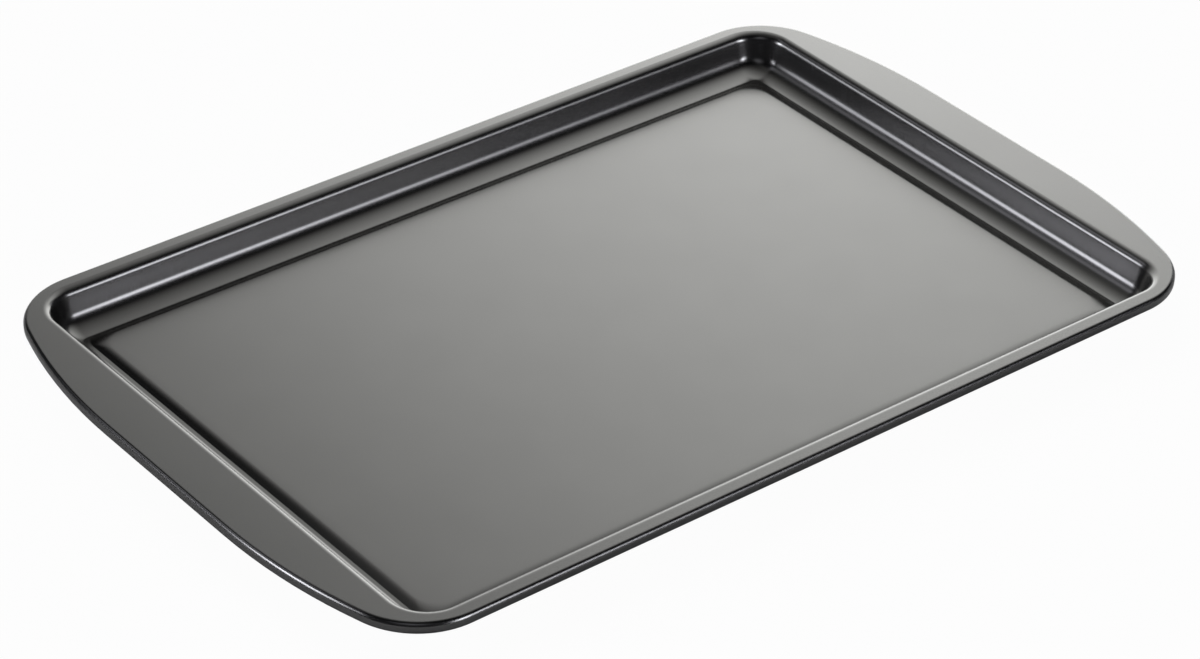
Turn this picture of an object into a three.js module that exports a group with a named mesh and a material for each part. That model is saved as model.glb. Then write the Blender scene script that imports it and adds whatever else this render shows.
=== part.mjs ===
// Cookie sheet: a rimmed baking tray pressed from one steel sheet, its edge curled round a stiffening wire.
// Millimetres. +X runs along the tray, +Y across it, +Z up. The origin lies under its middle.
import * as THREE from "three";

// Overall plan
const overallLength = 440;
const overallWidth = 280;
const handleDepth = 22; // from the opening to the outer edge, at the middle of each short end
const sideFlange = 7.2; // from the opening to the outer edge, along the long sides

// Outer edge in plan
const edgeCornerRadius = 34.2;
const handleBowRadius = 257.5; // the ends bow outwards between the corners
const handleFlatWidth = 82; // straight stretch at the middle of each end

// Pressed section, measured on the upper skin
const sheetThickness = 0.6;
const trayDepth = 16.1; // from the flange down to the gutter
const lipRadius = 4; // bend from the flange into the wall
const wallLean = 20; // degrees off upright
const coveRadius = 9.8; // bend from the wall into the gutter
const gutterCornerRadius = 2; // plan radius where the cove ends in a corner
const gutterFlat = 1.2; // flat ring that the tray stands on

// Raised baking panel
const panelRise = 1.5;
const panelSlope = 18; // degrees
const panelFootRadius = 2;
const panelShoulderRadius = 12;
const panelFootCornerRadius = 6; // plan radius at the foot of the slope
const panelCornerRadius = 11; // plan radius where the flat panel begins

// Wired edge
const wireDiameter = 1.6;
const wireClearance = 0.3;
const wireButtGap = 1; // between the two ends of the wire
const curlWrap = 240; // degrees that the sheet turns round the wire

// Facets
const sideSteps = 3; // along half a long side
const cornerSteps = 8;
const bowSteps = 4;
const panelBendSteps = 2;
const wallBendSteps = 3;
const curlSteps = 4;
const wireSides = 8;

// Section geometry that follows from the sizes above
const upright = Math.PI / 2;
const rimHeight = sheetThickness + trayDepth;
const wallTilt = THREE.MathUtils.degToRad(90 - wallLean);
const panelTilt = THREE.MathUtils.degToRad(panelSlope);
const wallInset = bendRun(lipRadius + coveRadius, wallTilt, trayDepth);
const panelInset = bendRun(panelFootRadius + panelShoulderRadius, panelTilt, panelRise);
const curlRadius = wireDiameter / 2 + wireClearance + sheetThickness;
const curlHeight = rimHeight - curlRadius;

// Plan geometry that follows from the sizes above
const openingHalfLength = overallLength / 2 - handleDepth;
const openingHalfWidth = overallWidth / 2 - sideFlange;
const openingCornerRadius = gutterCornerRadius + wallInset;
const footHalfLength = openingHalfLength - wallInset - gutterFlat;
const footHalfWidth = openingHalfWidth - wallInset - gutterFlat;
const bowRise = overallWidth / 2 - handleFlatWidth / 2 - edgeCornerRadius;
const bowAngle = Math.asin(bowRise / (handleBowRadius - edgeCornerRadius));
const bowEnd = handleFlatWidth / 2 + handleBowRadius * Math.sin(bowAngle);

// Level distance covered by a slope between two opposite bends whose radii add up to radiusSum.
function bendRun(radiusSum, tilt, drop) {
  const straight = (drop - radiusSum * (1 - Math.cos(tilt))) / Math.sin(tilt);
  return radiusSum * Math.sin(tilt) + straight * Math.cos(tilt);
}

// Points of an arc, from one angle to another.
function arcPoints(centreX, centreY, radius, fromAngle, toAngle, steps) {
  const clockwise = toAngle < fromAngle;
  return new THREE.ArcCurve(centreX, centreY, radius, fromAngle, toAngle, clockwise).getPoints(steps);
}

// Full outline, anticlockwise from the middle of the +Y side, out of the quarter from there to the +X end.
function allRound(quarter) {
  const back = [...quarter].reverse();
  const turns = [
    [quarter, -1, 1],
    [back, -1, -1],
    [quarter, 1, -1],
    [back, 1, 1],
  ];
  return turns.flatMap(([points, signX, signY]) =>
    points.slice(0, -1).map((point) => new THREE.Vector2(signX * point.x, signY * point.y)),
  );
}

// Half a long side, from its middle up to where the corner begins.
function sidePoints(cornerX, halfWidth) {
  const points = [];
  for (let step = 0; step < sideSteps; step += 1) {
    points.push(new THREE.Vector2((cornerX * step) / sideSteps, halfWidth));
  }
  return points;
}

// Outer edge moved outwards by offset: straight side, corner, bowed end with a straight middle.
function edgeOutline(offset) {
  const halfLength = overallLength / 2 + offset;
  const bowRadius = handleBowRadius + offset;
  const cornerRadius = edgeCornerRadius + offset;
  const bowX = halfLength - bowRadius;
  const bowY = handleFlatWidth / 2;
  const cornerX = bowX + (bowRadius - cornerRadius) * Math.cos(bowAngle);
  const cornerY = bowY + (bowRadius - cornerRadius) * Math.sin(bowAngle);
  const corner = arcPoints(cornerX, cornerY, cornerRadius, upright, bowAngle, cornerSteps);
  const bow = arcPoints(bowX, bowY, bowRadius, bowAngle, 0, bowSteps);
  return allRound([
    ...sidePoints(cornerX, overallWidth / 2 + offset),
    ...corner,
    ...bow.slice(1),
    new THREE.Vector2(halfLength, 0),
  ]);
}

// Rectangle with rounded corners, with its points in step with those of the outer edge.
function wellOutline(halfLength, halfWidth, cornerRadius) {
  const cornerX = halfLength - cornerRadius;
  const cornerY = halfWidth - cornerRadius;
  const corner = arcPoints(cornerX, cornerY, cornerRadius, upright, 0, cornerSteps);
  const bowHeights = arcPoints(0, handleFlatWidth / 2, handleBowRadius, bowAngle, 0, bowSteps);
  const end = bowHeights.map((point) => new THREE.Vector2(halfLength, (cornerY * point.y) / bowEnd));
  return allRound([
    ...sidePoints(cornerX, halfWidth),
    ...corner,
    ...end.slice(1),
    new THREE.Vector2(halfLength, 0),
  ]);
}

// Foot of the panel's slope moved inwards, towards the flat panel.
function panelOutline(inset) {
  const inward = inset / panelInset;
  const cornerRadius = THREE.MathUtils.lerp(panelFootCornerRadius, panelCornerRadius, inward);
  return wellOutline(footHalfLength - inset, footHalfWidth - inset, cornerRadius);
}

// Opening moved inwards, down the wall.
function wallOutline(inset) {
  const cornerRadius = openingCornerRadius - inset;
  return wellOutline(openingHalfLength - inset, openingHalfWidth - inset, cornerRadius);
}

// Outline lifted to a height.
function ring(outline, height) {
  return outline.map((point) => new THREE.Vector3(point.x, point.y, height));
}

// Panel edge outwards, as (inset from the foot, height), at a depth below the upper skin.
function panelSection(depth) {
  const path = new THREE.Path();
  const shoulderHeight = sheetThickness + panelRise - panelShoulderRadius;
  const footHeight = sheetThickness + panelFootRadius;
  path.absarc(panelInset, shoulderHeight, panelShoulderRadius - depth, upright, upright + panelTilt, false);
  path.absarc(0, footHeight, panelFootRadius + depth, panelTilt - upright, -upright, true);
  return path.getPoints(panelBendSteps);
}

// Cove, wall and lip outwards, as (inset from the opening, height), at a depth below the upper skin.
function wallSection(depth) {
  const path = new THREE.Path();
  const coveHeight = sheetThickness + coveRadius;
  const lipHeight = rimHeight - lipRadius;
  path.absarc(wallInset, coveHeight, coveRadius + depth, -upright, -upright - wallTilt, true);
  path.absarc(0, lipHeight, lipRadius - depth, upright - wallTilt, upright, false);
  return path.getPoints(wallBendSteps);
}

// Curl round the wire, as (offset from the outer edge, height), at a depth below the upper skin.
function curlSection(depth) {
  const path = new THREE.Path();
  const curlEnd = upright - THREE.MathUtils.degToRad(curlWrap);
  path.absarc(-curlRadius, curlHeight, curlRadius - depth, upright, curlEnd, true);
  return path.getPoints(curlSteps);
}

// One skin of the sheet as rings, from the flat panel out to the end of the curl.
function skinRings(depth) {
  const panel = panelSection(depth).map((point) => ring(panelOutline(point.x), point.y));
  const wall = wallSection(depth).map((point) => ring(wallOutline(point.x), point.y));
  const curl = curlSection(depth).map((point) => ring(edgeOutline(point.x), point.y));
  return [...panel, ...wall, ...curl];
}

// Cross-sections of the wire along the edge, from one butted end round to the other.
function wireSections() {
  const strands = Array.from({ length: wireSides }, (_, side) => {
    const angle = (2 * Math.PI * side) / wireSides;
    const offset = (wireDiameter / 2) * Math.cos(angle) - curlRadius;
    const strand = ring(edgeOutline(offset), curlHeight + (wireDiameter / 2) * Math.sin(angle));
    const lastEnd = strand[0].clone();
    strand[0].x -= wireButtGap / 2;
    lastEnd.x += wireButtGap / 2;
    return [...strand, lastEnd];
  });
  return strands[0].map((_, station) => strands.map((strand) => strand[station]));
}

// Closed body through matching rings, with a flat face on the first and on the last.
function loft(rings) {
  const count = rings[0].length;
  const faces = [];
  for (let row = 0; row < rings.length - 1; row += 1) {
    for (let column = 0; column < count; column += 1) {
      const here = row * count + column;
      const beside = row * count + ((column + 1) % count);
      faces.push(here, here + count, beside + count);
      faces.push(here, beside + count, beside);
    }
  }
  const lastRow = (rings.length - 1) * count;
  for (let column = 1; column < count - 1; column += 1) {
    faces.push(0, column, column + 1);
    faces.push(lastRow, lastRow + column + 1, lastRow + column);
  }
  const geometry = new THREE.BufferGeometry().setFromPoints(rings.flat());
  geometry.setIndex(faces);
  geometry.computeVertexNormals();
  return geometry;
}

function namedMesh(name, geometry, material) {
  const mesh = new THREE.Mesh(geometry, material);
  mesh.name = name;
  return mesh;
}

// The sheet with its baked-on dark coating.
function pressedTray() {
  const coating = new THREE.MeshStandardMaterial({ color: 0x4a4a4b, roughness: 0.42, metalness: 0.75 });
  const rings = [...skinRings(0), ...skinRings(sheetThickness).reverse()];
  return namedMesh("pressed_tray", loft(rings), coating);
}

// The bare steel wire inside the curl.
function rimWire() {
  const bareSteel = new THREE.MeshStandardMaterial({ color: 0x9b9da0, roughness: 0.35, metalness: 1 });
  return namedMesh("rim_wire", loft(wireSections()), bareSteel);
}

const cookieSheet = new THREE.Group();
cookieSheet.add(pressedTray(), rimWire());

export default cookieSheet;
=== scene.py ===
from math import asin, cos, degrees, radians, sin

import bmesh
import bpy
from mathutils import Matrix, Vector


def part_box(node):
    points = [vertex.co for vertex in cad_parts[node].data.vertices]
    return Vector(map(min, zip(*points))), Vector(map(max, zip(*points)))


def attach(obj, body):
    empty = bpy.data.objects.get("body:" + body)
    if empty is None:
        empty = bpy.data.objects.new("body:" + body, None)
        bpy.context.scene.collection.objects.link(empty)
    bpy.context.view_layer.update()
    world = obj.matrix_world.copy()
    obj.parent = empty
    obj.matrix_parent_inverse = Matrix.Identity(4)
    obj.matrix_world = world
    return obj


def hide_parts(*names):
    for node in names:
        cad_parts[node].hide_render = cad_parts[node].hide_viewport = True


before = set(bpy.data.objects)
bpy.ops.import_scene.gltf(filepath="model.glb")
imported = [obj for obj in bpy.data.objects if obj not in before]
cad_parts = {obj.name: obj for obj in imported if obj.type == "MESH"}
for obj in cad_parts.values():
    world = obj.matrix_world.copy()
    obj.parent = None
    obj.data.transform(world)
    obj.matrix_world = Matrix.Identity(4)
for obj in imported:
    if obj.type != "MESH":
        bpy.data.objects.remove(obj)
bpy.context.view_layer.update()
mm = 0.001
sharpAngle = 50  # degrees; edges that fold more than this stay crisp
samePlace = 1e-6  # metres; closer than this counts as touching
seamGap = 1e-5  # mirrored halves are joined across this

# One vertex is pulled and turned into a section, and that is pulled and turned along the plan


def pull(x, y, z, steps):
    return {"dvec": Vector((x, y, z)) * mm / steps, "angle": 0, "cent": Vector(), "steps": steps}


def turn(x, y, z, angle, steps):
    centre = Vector((x, y, z)) * mm
    return {"dvec": Vector(), "angle": radians(angle), "cent": centre, "steps": steps}


def sweep(bm, geom, moves, axis):
    for move in moves:
        geom = bmesh.ops.spin(bm, geom=geom, axis=axis, **move)["geom_last"]


def strip(bm, start, section, plan):
    oldVerts, oldEdges = set(bm.verts), set(bm.edges)
    sweep(bm, [bm.verts.new(Vector(start) * mm)], section, (0, 1, 0))
    verts = [vert for vert in bm.verts if vert not in oldVerts]
    edges = [edge for edge in bm.edges if edge not in oldEdges]
    sweep(bm, verts + edges, plan, (0, 0, 1))


def openEdges(bm, height):
    # open edges at a height, without those that lie on the mirror planes
    def lies(edge, axis, level):
        return all(abs(vert.co[axis] - level) < samePlace for vert in edge.verts)

    ends = [edge for edge in bm.edges if len(edge.link_faces) < 2 and lies(edge, 2, height * mm)]
    return [edge for edge in ends if not lies(edge, 0, 0) and not lies(edge, 1, 0)]


def bridge(bm, *heights):
    edges = [edge for height in heights for edge in openEdges(bm, height)]
    bmesh.ops.bridge_loops(bm, edges=list(dict.fromkeys(edges)))


def mirrorAll(bm, axis):
    geom = bm.verts[:] + bm.edges[:] + bm.faces[:]
    bmesh.ops.mirror(bm, geom=geom, matrix=Matrix(), merge_dist=seamGap, axis=axis)


def closeUp(bm):
    bmesh.ops.remove_doubles(bm, verts=bm.verts[:], dist=samePlace)
    bmesh.ops.holes_fill(bm, edges=[edge for edge in bm.edges if edge.is_boundary], sides=0)
    bmesh.ops.recalc_face_normals(bm, faces=bm.faces[:])


def makeObject(name, bm, material):
    for face in bm.faces:
        face.smooth = True
    for edge in bm.edges:
        edge.smooth = edge.calc_face_angle(0) < radians(sharpAngle)
    mesh = bpy.data.meshes.new(name)
    bm.to_mesh(mesh)
    bm.free()
    mesh.materials.append(material)
    piece = bpy.data.objects.new(name, mesh)
    bpy.context.scene.collection.objects.link(piece)
    return piece


# Node helpers for the materials and the world


def newTree(owner):
    owner.use_nodes = True
    owner.node_tree.nodes.clear()
    return owner.node_tree


def addNode(tree, kind, settings=None, **inputs):
    # inputs are named by socket, or as _0, _1 by place
    node = tree.nodes.new(kind)
    for name, value in (settings or {}).items():
        setattr(node, name, value)
    for name, value in inputs.items():
        socket = node.inputs[int(name[1:]) if name[0] == "_" else name]
        if isinstance(value, bpy.types.NodeSocket):
            tree.links.new(value, socket)
        else:
            socket.default_value = value
    return node


def ramp(tree, value, start, end, low=0, high=1, kind="SMOOTHSTEP"):
    node = addNode(tree, "ShaderNodeMapRange", {"interpolation_type": kind}, Value=value)
    for name, level in (("From Min", start), ("From Max", end), ("To Min", low), ("To Max", high)):
        node.inputs[name].default_value = level
    return node.outputs["Result"]


def maths(tree, operation, a, b=0, c=0):
    return addNode(tree, "ShaderNodeMath", {"operation": operation}, _0=a, _1=b, _2=c).outputs[0]


def product(tree, first, *others):
    for other in others:
        first = maths(tree, "MULTIPLY", first, other)
    return first


def objectPlace(tree):
    return addNode(tree, "ShaderNodeTexCoord").outputs["Object"]


def splitPlace(tree):
    return addNode(tree, "ShaderNodeSeparateXYZ", Vector=objectPlace(tree)).outputs


def noise(tree, place, scale, detail):
    node = addNode(tree, "ShaderNodeTexNoise", Vector=place, Scale=scale, Detail=detail)
    return node.outputs["Fac"]


def tones(tree, value, dark, light, warm=1):
    node = addNode(tree, "ShaderNodeValToRGB", Fac=value)
    for element, level in zip(node.color_ramp.elements, (dark, light)):
        element.color = (level, level, level * warm, 1)
    return node.outputs["Color"]


def metal(tree, colour, roughness):
    shader = addNode(tree, "ShaderNodeBsdfPrincipled", Metallic=1, Roughness=roughness)
    tree.links.new(colour, shader.inputs["Base Color"])
    addNode(tree, "ShaderNodeOutputMaterial", Surface=shader.outputs["BSDF"])
    return shader


# Tray, in millimetres and degrees; its length is the frame's

tray = {
    "width": 278,
    "height": 17.6,
    "handleDepth": 21.9,  # opening to edge, at the middle of each end
    "sideFlange": 5.8,  # opening to edge, along the sides
    "edgeCorner": 34.2,
    "handleBow": 257.5,
    "handleFlat": 82,
    "sheet": 0.6,
    "lip": ((3.8, 48), (5.5, 73)),  # bends, each as its radius and last tilt
    "cove": ((10, 30), (16, 10), (0.8, 0)),  # the gutter falls towards the panel's step
    "gutterCorner": 3,
    "sideFlat": 0.2,  # flat ring that the tray stands on
    "endFlat": 1.5,
    "panelRise": 1.25,
    "panelTilt": 24,
    "foot": 0.8,
    "shoulder": 10,
    "footCorner": 6,
    "panelCorner": 10.5,
    "panelMargin": 4,
    "edge": ((1.3, 51), (4, 68), (1, 90)),
    "edgeFoot": 2,
    "edgeHeight": 5.5,
    "edgeTuck": 2,  # flat underside of the turned edge
    "edgeEnd": 60,  # last bend, up towards the flange
    "hold": 0.4,  # flat margin beside each bend, so that the flats stay flat
}
endSteps, bowSteps, cornerSteps, sideSteps = 5, 9, 18, 8  # along the plan
lipSteps, wallSteps, coveSteps, footSteps, shoulderSteps = 9, 3, 8, 6, 12  # along the section
edgeSteps, edgeFootSteps, edgeEndSteps = 6, 8, 6

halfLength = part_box("pressed_tray")[1][0] / mm
halfWidth = tray["width"] / 2
rimHeight = tray["height"]


def normal(way, tilt):
    return Vector((way * sin(radians(tilt)), cos(radians(tilt))))


def bendPath(place, way, tilt, bends):
    # centre and angle of each bend of a section that runs outwards (1) or inwards (-1), and its end
    path = []
    for radius, last in bends:
        side = radius if last < tilt else -radius
        centre = place + side * normal(way, tilt)
        place = centre - side * normal(way, last)
        path.append((centre, way * (last - tilt)))
        tilt = last
    return path, place


def turns(path, x, steps):
    return [turn(x + centre.x, 0, centre.y, angle, steps) for centre, angle in path]


wallTilt = tray["lip"][-1][1]
rim = Vector((0, rimHeight))
lipPath, lipEnd = bendPath(rim, -1, 0, tray["lip"])
coveDrop = -bendPath(Vector((0, 0)), -1, wallTilt, tray["cove"])[1].y
wallDrop = lipEnd.y - coveDrop - tray["sheet"]
wallStraight = wallDrop / sin(radians(wallTilt))
wallRun = Vector((-wallStraight * cos(radians(wallTilt)), -wallDrop))
covePath, coveEnd = bendPath(lipEnd + wallRun, -1, wallTilt, tray["cove"])
wallInset = -coveEnd.x
edgePath, edgeLow = bendPath(rim, 1, 0, tray["edge"])
panelRadii, panelTilt = tray["foot"] + tray["shoulder"], radians(tray["panelTilt"])
panelStraight = (tray["panelRise"] - panelRadii * (1 - cos(panelTilt))) / sin(panelTilt)
panelInset = panelRadii * sin(panelTilt) + panelStraight * cos(panelTilt)
openingX = halfLength - tray["handleDepth"]
openingY = halfWidth - tray["sideFlange"]
footX = openingX - wallInset - tray["endFlat"]
footY = openingY - wallInset - tray["sideFlat"]
bowX = halfLength - tray["handleBow"]
bowY = tray["handleFlat"] / 2
edgeY = halfWidth - tray["edgeCorner"]
bowReach = tray["handleBow"] - tray["edgeCorner"]
bowTurn = degrees(asin((edgeY - bowY) / bowReach))
edgeX = bowX + bowReach * cos(radians(bowTurn))


def edgePlan():
    return [
        pull(0, bowY, 0, endSteps),
        turn(bowX, bowY, 0, bowTurn, bowSteps),
        turn(edgeX, edgeY, 0, 90 - bowTurn, cornerSteps),
        pull(-edgeX, 0, 0, sideSteps),
    ]


def wellPlan(reachX, reachY, corner):
    x, y = reachX - corner, reachY - corner
    return [
        pull(0, y, 0, endSteps + bowSteps),
        turn(x, y, 0, 90, cornerSteps),
        pull(-x, 0, 0, sideSteps),
    ]


def addWall(bm, depth):
    hold = tray["hold"]
    section = [
        pull(-hold, 0, 0, 1),
        *turns(lipPath, openingX, lipSteps),
        pull(wallRun.x, 0, wallRun.y, wallSteps),
        *turns(covePath, openingX, coveSteps),
    ]
    corner = tray["gutterCorner"] + wallInset
    start = (openingX + hold, 0, rimHeight - depth)
    strip(bm, start, section, wellPlan(openingX, openingY, corner))


def addEdge(bm):
    # down the outside, round under the flange, and back along the inside
    foot, tuck, last, hold = tray["edgeFoot"], tray["edgeTuck"], tray["edgeEnd"], tray["hold"]
    flatX, skirtZ = halfLength - edgeLow.x, edgeLow.y
    outX = halfLength - foot
    inX = outX - tuck
    lowZ = rimHeight - tray["edgeHeight"] + foot
    across = radians(last - 180)
    back = [(centre, -angle) for centre, angle in reversed(edgePath)]
    section = [
        pull(hold, 0, 0, 1),
        *turns(edgePath, flatX, edgeSteps),
        pull(0, 0, lowZ - skirtZ, 1),
        turn(outX, 0, lowZ, 90, edgeFootSteps),
        pull(-tuck, 0, 0, 1),
        turn(inX, 0, lowZ, last, edgeEndSteps),
        pull(-tray["sheet"] * sin(across), 0, -tray["sheet"] * cos(across), 1),
        turn(inX, 0, lowZ, -last, edgeEndSteps),
        pull(tuck, 0, 0, 1),
        turn(outX, 0, lowZ, -90, edgeFootSteps),
        pull(0, 0, skirtZ - lowZ, 1),
        *turns(back, flatX, edgeSteps),
        pull(-hold, 0, 0, 1),
    ]
    strip(bm, (flatX - hold, 0, rimHeight), section, edgePlan())


def addPanel(bm, depth):
    # foot and shoulder as (inset, height) stations, then a flat margin
    sheet, tilt = tray["sheet"], tray["panelTilt"]
    foot, shoulder = tray["foot"] + depth, tray["shoulder"] - depth
    footHeight = sheet + tray["foot"]
    shoulderHeight = sheet + tray["panelRise"] - tray["shoulder"]
    stations = []
    for step in range(footSteps + 1):
        angle = radians(tilt * step / footSteps)
        stations.append((foot * sin(angle), footHeight - foot * cos(angle)))
    for step in range(shoulderSteps, -1, -1):
        angle = radians(tilt * step / shoulderSteps)
        inset = panelInset - shoulder * sin(angle)
        stations.append((inset, shoulderHeight + shoulder * cos(angle)))
    stations.append((panelInset + tray["panelMargin"], stations[-1][1]))
    cornerGrowth = (tray["panelCorner"] - tray["footCorner"]) / panelInset
    for inset, height in stations:
        corner = tray["footCorner"] + cornerGrowth * inset
        strip(bm, (footX - inset, 0, height), [], wellPlan(footX - inset, footY - inset, corner))
    heights = [height for inset, height in stations]
    bridge(bm, sheet - depth)
    for lower, upper in zip(heights, heights[1:]):
        bridge(bm, lower, upper)


def buildTray(material):
    bm = bmesh.new()
    addEdge(bm)
    for depth in (0, tray["sheet"]):
        addWall(bm, depth)
        bridge(bm, rimHeight - depth)
        addPanel(bm, depth)
    mirrorAll(bm, "X")
    mirrorAll(bm, "Y")
    closeUp(bm)
    print("tray:", len(bm.faces), "faces")
    return makeObject("coated_tray", bm, material)


# Stiffening wire inside the turned edge, its ends butted at the middle of the far side

wire = {"diameter": 2.8, "inset": 2.35, "drop": 2.35, "buttGap": 1, "sides": 16}


def buildWire(material):
    bm = bmesh.new()
    radius, startX = wire["diameter"] / 2, wire["buttGap"] / 2
    start = Vector((startX, halfWidth - wire["inset"], rimHeight - wire["drop"])) * mm
    place = Matrix.Translation(start) @ Matrix.Rotation(radians(90), 4, "Y")
    bmesh.ops.create_circle(bm, segments=wire["sides"], radius=radius * mm, matrix=place)
    plan = [
        pull(edgeX - startX, 0, 0, sideSteps),
        turn(edgeX, edgeY, 0, bowTurn - 90, cornerSteps),
        turn(bowX, bowY, 0, -bowTurn, bowSteps),
        pull(0, -2 * bowY, 0, 2 * endSteps),
        turn(bowX, -bowY, 0, -bowTurn, bowSteps),
        turn(edgeX, -edgeY, 0, bowTurn - 90, cornerSteps),
        pull(-edgeX, 0, 0, sideSteps),
    ]
    sweep(bm, bm.verts[:] + bm.edges[:], plan, (0, 0, 1))
    mirrorAll(bm, "X")
    closeUp(bm)
    print("wire:", len(bm.faces), "faces")
    return makeObject("edge_wire", bm, material)


# Baked-on coating: satin charcoal with a fine fleck

coating = {
    "dark": 0.144,
    "light": 0.156,
    "warm": 0.965,  # blue against red and green
    "smooth": 0.2,
    "dull": 0.25,
    "cloudScale": 35,
    "cloudDetail": 3,
    "fleckSize": 0.6,  # millimetres
    "fleckDetail": 2,
    "fleckDepth": 0.1,
    "fleckRelief": 0.03,
}


def coatedSteel():
    material = bpy.data.materials.new("coated_steel")
    tree = newTree(material)
    place = objectPlace(tree)
    cloud = noise(tree, place, coating["cloudScale"], coating["cloudDetail"])
    fleck = noise(tree, place, 1 / (coating["fleckSize"] * mm), coating["fleckDetail"])
    colour = tones(tree, cloud, coating["dark"], coating["light"], coating["warm"])
    gloss = ramp(tree, fleck, 0, 1, coating["smooth"], coating["dull"], "LINEAR")
    shader = metal(tree, colour, gloss)
    grain = addNode(tree, "ShaderNodeBump", Height=fleck, Strength=coating["fleckRelief"])
    grain.inputs["Distance"].default_value = coating["fleckDepth"] * mm
    tree.links.new(grain.outputs["Normal"], shader.inputs["Normal"])
    return material


# Drawn wire: bright steel with a slightly uneven, dull skin

drawnSteel = {
    "dark": 0.42,
    "light": 0.6,
    "smooth": 0.3,
    "dull": 0.5,
    "skinScale": 700,
    "skinDetail": 4,
}


def bareSteel():
    material = bpy.data.materials.new("wire_steel")
    tree = newTree(material)
    skin = noise(tree, objectPlace(tree), drawnSteel["skinScale"], drawnSteel["skinDetail"])
    colour = tones(tree, skin, drawnSteel["dark"], drawnSteel["light"])
    gloss = ramp(tree, skin, 0, 1, drawnSteel["smooth"], drawnSteel["dull"], "LINEAR")
    metal(tree, colour, gloss)
    return material


trayPiece = buildTray(coatedSteel())
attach(trayPiece, "root")
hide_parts("pressed_tray")
wirePiece = buildWire(bareSteel())
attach(wirePiece, "root")
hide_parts("rim_wire")

# Pale floor, lifted to white for the camera and only a little in the metal

floor = {
    "halfSize": 30,  # metres
    "drop": 0.1,  # millimetres
    "pale": 0.9,
    "speckle": 0.88,
    "cloudScale": 3,
    "cloudDetail": 2,
    "roughness": 0.9,
    "lift": 0.97,
    "mirrorLift": 0.02,
}


def buildFloor():
    material = bpy.data.materials.new("pale_floor")
    tree = newTree(material)
    cloud = noise(tree, objectPlace(tree), floor["cloudScale"], floor["cloudDetail"])
    shader = addNode(tree, "ShaderNodeBsdfPrincipled", Roughness=floor["roughness"])
    shader.inputs["Specular IOR Level"].default_value = 0
    tree.links.new(tones(tree, cloud, floor["speckle"], floor["pale"]), shader.inputs["Base Color"])
    path = addNode(tree, "ShaderNodeLightPath").outputs
    mirrored = maths(tree, "ADD", path["Is Glossy Ray"], path["Is Transmission Ray"])
    mirrored = maths(tree, "MULTIPLY", mirrored, floor["mirrorLift"])
    seen = maths(tree, "MULTIPLY_ADD", path["Is Camera Ray"], floor["lift"], mirrored)
    white = addNode(tree, "ShaderNodeEmission", Strength=1)
    plain, bright = shader.outputs["BSDF"], white.outputs["Emission"]
    blend = addNode(tree, "ShaderNodeMixShader", _0=seen, _1=plain, _2=bright)
    addNode(tree, "ShaderNodeOutputMaterial", Surface=blend.outputs["Shader"])
    bm = bmesh.new()
    place = Matrix.Translation((0, 0, -floor["drop"] * mm))
    bmesh.ops.create_grid(bm, x_segments=1, y_segments=1, size=floor["halfSize"], matrix=place)
    makeObject("studio_floor", bm, material)


buildFloor()
print("floor laid")

# Studio light, in degrees and metres: far soft boxes in the world, two glowing cards, a fill lamp

softBoxes = [
    {"azimuth": -71, "elevation": 16, "size": (0.32, 0.15), "strength": 16},  # shows in the far wall
    {"azimuth": 152, "elevation": 16, "size": (0.28, 0.16), "strength": 16},  # shows in the right wall
    {"azimuth": 128, "elevation": 40, "size": (0.36, 0.3), "strength": 1.1},
    {"azimuth": 14, "elevation": 18, "size": (0.3, 0.2), "strength": 1.2},
    {"azimuth": -135, "elevation": 38, "size": (0.5, 0.3), "strength": 0.5},
]
horizon = {"low": 0.06, "high": 0.02, "top": 0.6, "tint": (0.91, 0.91, 1, 1)}
lightCard = {
    "behind": 0.7,
    "centre": (1.25, 1.2),
    "halfSize": 1.55,
    "strength": 6.3,
    "slant": 0.4,
    "slantFade": (-0.42, 0.78),
    "fall": 1.45,
    "fallFrom": 0.4,
    "rightFade": (2.6, 1.6),
    "topFade": (2.4, 1.5),
}
overhead = {
    "height": 0.85,
    "centre": 0.625,
    "halfSize": 1,
    "strength": 2,
    "leftShare": 0.1,  # glow that stays at the left end
    "rise": (-0.1, 1),
    "leftFade": (-0.6, -0.3),
    "rightFade": (1.6, 1.2),
    "frontFade": (-0.65, 0.6),
    "backFade": (0.69, 0.66),
}
fill = {"strength": 1.3, "angle": 50, "azimuth": 70, "tilt": 50}


def buildWorld():
    world = bpy.data.worlds.new("studio")
    bpy.context.scene.world = world
    tree = newTree(world)
    view = addNode(tree, "ShaderNodeTexCoord").outputs["Generated"]
    rise = addNode(tree, "ShaderNodeSeparateXYZ", Vector=view).outputs["Z"]
    total = ramp(tree, rise, 0, horizon["top"], horizon["low"], horizon["high"])
    for box in softBoxes:
        lift = Matrix.Rotation(radians(-box["elevation"]), 3, "Y")
        facing = Matrix.Rotation(radians(box["azimuth"]), 3, "Z") @ lift
        spot = addNode(tree, "ShaderNodeMapping", {"vector_type": "TEXTURE"}, Vector=view)
        spot.inputs["Location"].default_value = facing @ Vector((1, 0, 0))
        spot.inputs["Rotation"].default_value = facing.to_euler()
        spot.inputs["Scale"].default_value = (1, *box["size"])
        glow = addNode(tree, "ShaderNodeTexGradient", {"gradient_type": "SPHERICAL"})
        tree.links.new(spot.outputs["Vector"], glow.inputs["Vector"])
        total = maths(tree, "ADD", total, ramp(tree, glow.outputs["Fac"], 0, 1, 0, box["strength"]))
    light = addNode(tree, "ShaderNodeBackground", Color=horizon["tint"], Strength=total)
    addNode(tree, "ShaderNodeOutputWorld", Surface=light.outputs["Background"])


def hangCard(name, material, tree, glow, size, place):
    shine = addNode(tree, "ShaderNodeEmission", Strength=glow)
    addNode(tree, "ShaderNodeOutputMaterial", Surface=shine.outputs["Emission"])
    bm = bmesh.new()
    bmesh.ops.create_grid(bm, x_segments=1, y_segments=1, size=size, matrix=place)
    card = makeObject(name, bm, material)
    card.visible_camera = False
    card.visible_diffuse = False
    card.visible_shadow = False


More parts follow.
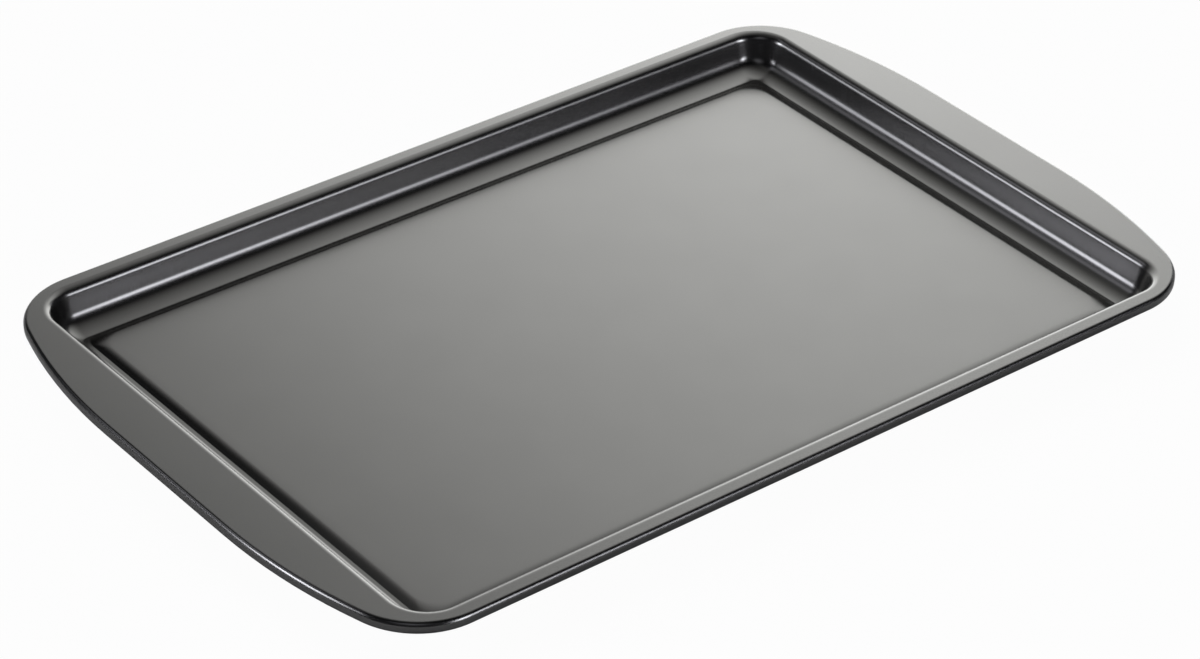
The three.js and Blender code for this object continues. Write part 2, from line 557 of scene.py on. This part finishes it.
def buildCard():
    # large card behind the tray, brightest low down and to the right
    material = bpy.data.materials.new("light_card")
    tree = newTree(material)
    split = splitPlace(tree)
    across, up = split["X"], split["Z"]
    slant = maths(tree, "MULTIPLY_ADD", up, -lightCard["slant"], across)
    climb = maths(tree, "MAXIMUM", up, lightCard["fallFrom"])
    fall = maths(tree, "EXPONENT", maths(tree, "MULTIPLY", climb, -lightCard["fall"]))
    glow = product(
        tree,
        ramp(tree, slant, *lightCard["slantFade"]),
        fall,
        lightCard["strength"],
        ramp(tree, across, *lightCard["rightFade"]),
        ramp(tree, up, *lightCard["topFade"]),
    )
    centreX, centreZ = lightCard["centre"]
    upright = Matrix.Rotation(radians(90), 4, "X")
    place = Matrix.Translation((centreX, lightCard["behind"], centreZ)) @ upright
    hangCard("light_card", material, tree, glow, lightCard["halfSize"], place)


def buildOverhead():
    # softer card above the tray, fading out towards the front and the left
    material = bpy.data.materials.new("top_card")
    tree = newTree(material)
    split = splitPlace(tree)
    across, back = split["X"], split["Y"]
    glow = product(
        tree,
        ramp(tree, across, *overhead["rise"], low=overhead["leftShare"]),
        ramp(tree, across, *overhead["leftFade"]),
        ramp(tree, across, *overhead["rightFade"]),
        ramp(tree, back, *overhead["frontFade"]),
        ramp(tree, back, *overhead["backFade"]),
        overhead["strength"],
    )
    place = Matrix.Translation((overhead["centre"], 0, overhead["height"]))
    hangCard("top_card", material, tree, glow, overhead["halfSize"], place)


def buildFill():
    lamp = bpy.data.lights.new("fill", "SUN")
    lamp.energy = fill["strength"]
    lamp.angle = radians(fill["angle"])
    lampObject = bpy.data.objects.new("fill", lamp)
    lampObject.rotation_euler = (0, radians(fill["tilt"]), radians(fill["azimuth"]))
    lampObject.visible_glossy = False
    bpy.context.scene.collection.objects.link(lampObject)


buildWorld()
buildCard()
buildOverhead()
buildFill()
print("light set")

# Camera, as fitted to the photograph

camera = {
    "place": (-0.87295, -1.0327, 0.9001),
    "azimuth": -40.0701,
    "elevation": 33.7277,
    "roll": 2.2175,
    "lens": 117.524,
    "sensor": 36,
}


def buildCamera():
    lens = bpy.data.cameras.new("photo_view")
    lens.lens = camera["lens"]
    lens.sensor_width = camera["sensor"]
    lens.sensor_fit = "HORIZONTAL"
    view = bpy.data.objects.new("photo_view", lens)
    turnZ = Matrix.Rotation(radians(camera["azimuth"]), 4, "Z")
    tilt = Matrix.Rotation(radians(90 - camera["elevation"]), 4, "X")
    roll = Matrix.Rotation(radians(camera["roll"]), 4, "Z")
    view.matrix_world = Matrix.Translation(camera["place"]) @ turnZ @ tilt @ roll
    bpy.context.scene.collection.objects.link(view)
    bpy.context.scene.camera = view


buildCamera()
bpy.context.scene.view_settings.view_transform = "Standard"
print("camera set")
